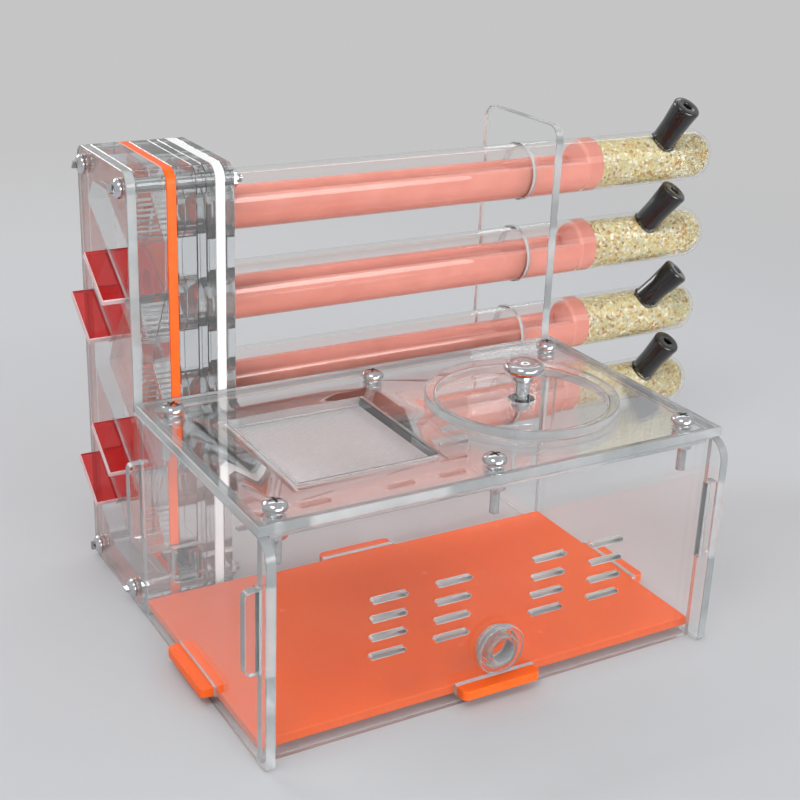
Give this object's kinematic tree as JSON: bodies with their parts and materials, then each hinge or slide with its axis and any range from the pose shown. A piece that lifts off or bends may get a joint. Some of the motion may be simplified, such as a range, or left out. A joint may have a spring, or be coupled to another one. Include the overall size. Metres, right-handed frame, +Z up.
{
  "type": "ant habitat",
  "caption": "Ant habitat: a clear lidded foraging box with an orange floor, a bolted stack of plates with a zigzag ramp and slide-in gates, and horizontal glass nest tubes held in round holes",
  "frame": {"origin": "centre of the footprint's bounding box, on the surface that it stands on", "axes": "+X along the tubes towards their closed ends, +Y from the foraging box towards the stack and tubes, +Z up"},
  "size_m": [0.317, 0.1826, 0.1951],
  "materials": {
    "clear_acrylic": "clear, polished faces, frosted cut edges",
    "orange_acrylic": "gloss",
    "red_acrylic": "translucent gloss",
    "white_gasket": "satin",
    "steel": "polished",
    "mesh": "woven",
    "glass": "clear",
    "plaster": "matt",
    "sand": "grainy",
    "rubber": "gloss"
  },
  "bodies": {
    "housing": {"left_side_plate": "clear_acrylic", "right_side_plate": "clear_acrylic", "front_wall": "clear_acrylic", "back_wall": "clear_acrylic", "floor_plate": "orange_acrylic", "ramp_plate": "clear_acrylic", "orange_plate": "orange_acrylic", "passage_plate": "clear_acrylic", "mouth_plate": "clear_acrylic", "socket_plate": "clear_acrylic", "gasket_plate": "white_gasket", "tube_plate": "clear_acrylic", "tower_bolts": "steel", "tower_nuts": "steel", "door_sleeve": "clear_acrylic", "front_port": "clear_acrylic"},
    "front_plug": {"port_plug": "clear_acrylic"},
    "lid": {"lid_plate": "clear_acrylic", "lid_locating_plate": "clear_acrylic", "vent_mesh": "mesh", "lid_screws": "steel", "lid_nuts": "steel"},
    "cover": {"round_cover": "clear_acrylic", "cover_knob": "steel", "cover_nut": "steel"},
    "gate_body_1": {"gate_1": "red_acrylic"},
    "tube_1": {"glass_1": "glass", "plaster_1": "plaster", "sand_1": "sand"},
    "bung_1": {"stopper_1": "rubber"},
    "gate_body_2": {"gate_2": "red_acrylic"},
    "tube_2": {"glass_2": "glass", "plaster_2": "plaster", "sand_2": "sand"},
    "bung_2": {"stopper_2": "rubber"},
    "gate_body_3": {"gate_3": "red_acrylic"},
    "tube_3": {"glass_3": "glass", "plaster_3": "plaster", "sand_3": "sand"},
    "bung_3": {"stopper_3": "rubber"},
    "gate_body_4": {"gate_4": "red_acrylic"},
    "tube_4": {"glass_4": "glass", "plaster_4": "plaster", "sand_4": "sand"},
    "bung_4": {"stopper_4": "rubber"}
  },
  "joints": [
    {"name": "plug_pull", "type": "slide", "parent": "housing", "child": "front_plug", "axis": [0, -1, 0], "range_m": [0, 0.015]},
    {"name": "lid_lift", "type": "slide", "parent": "housing", "child": "lid", "axis": [0, 0, 1], "range_m": [0, 0.06]},
    {"name": "cover_lift", "type": "slide", "parent": "lid", "child": "cover", "axis": [0, 0, 1], "range_m": [0, 0.03]},
    {"name": "gate_slide_1", "type": "slide", "parent": "housing", "child": "gate_body_1", "axis": [-1, 0, 0], "range_m": [0, 0.025]},
    {"name": "tube_pull_1", "type": "slide", "parent": "housing", "child": "tube_1", "axis": [1, 0, 0], "range_m": [0, 0.175]},
    {"name": "stopper_pull_1", "type": "slide", "parent": "tube_1", "child": "bung_1", "axis": [0.1564, -0.5087, 0.8466], "range_m": [0, 0.022]},
    {"name": "gate_slide_2", "type": "slide", "parent": "housing", "child": "gate_body_2", "axis": [-1, 0, 0], "range_m": [0, 0.025]},
    {"name": "tube_pull_2", "type": "slide", "parent": "housing", "child": "tube_2", "axis": [1, 0, 0], "range_m": [0, 0.175]},
    {"name": "stopper_pull_2", "type": "slide", "parent": "tube_2", "child": "bung_2", "axis": [0.3256, -0.487, 0.8105], "range_m": [0, 0.022]},
    {"name": "gate_slide_3", "type": "slide", "parent": "housing", "child": "gate_body_3", "axis": [-1, 0, 0], "range_m": [0, 0.025]},
    {"name": "tube_pull_3", "type": "slide", "parent": "housing", "child": "tube_3", "axis": [1, 0, 0], "range_m": [0, 0.175]},
    {"name": "stopper_pull_3", "type": "slide", "parent": "tube_3", "child": "bung_3", "axis": [0.4848, -0.4505, 0.7497], "range_m": [0, 0.022]},
    {"name": "gate_slide_4", "type": "slide", "parent": "housing", "child": "gate_body_4", "axis": [-1, 0, 0], "range_m": [0, 0.025]},
    {"name": "tube_pull_4", "type": "slide", "parent": "housing", "child": "tube_4", "axis": [1, 0, 0], "range_m": [0, 0.175]},
    {"name": "stopper_pull_4", "type": "slide", "parent": "tube_4", "child": "bung_4", "axis": [0.225, -0.5018, 0.8352], "range_m": [0, 0.022]}
  ]
}
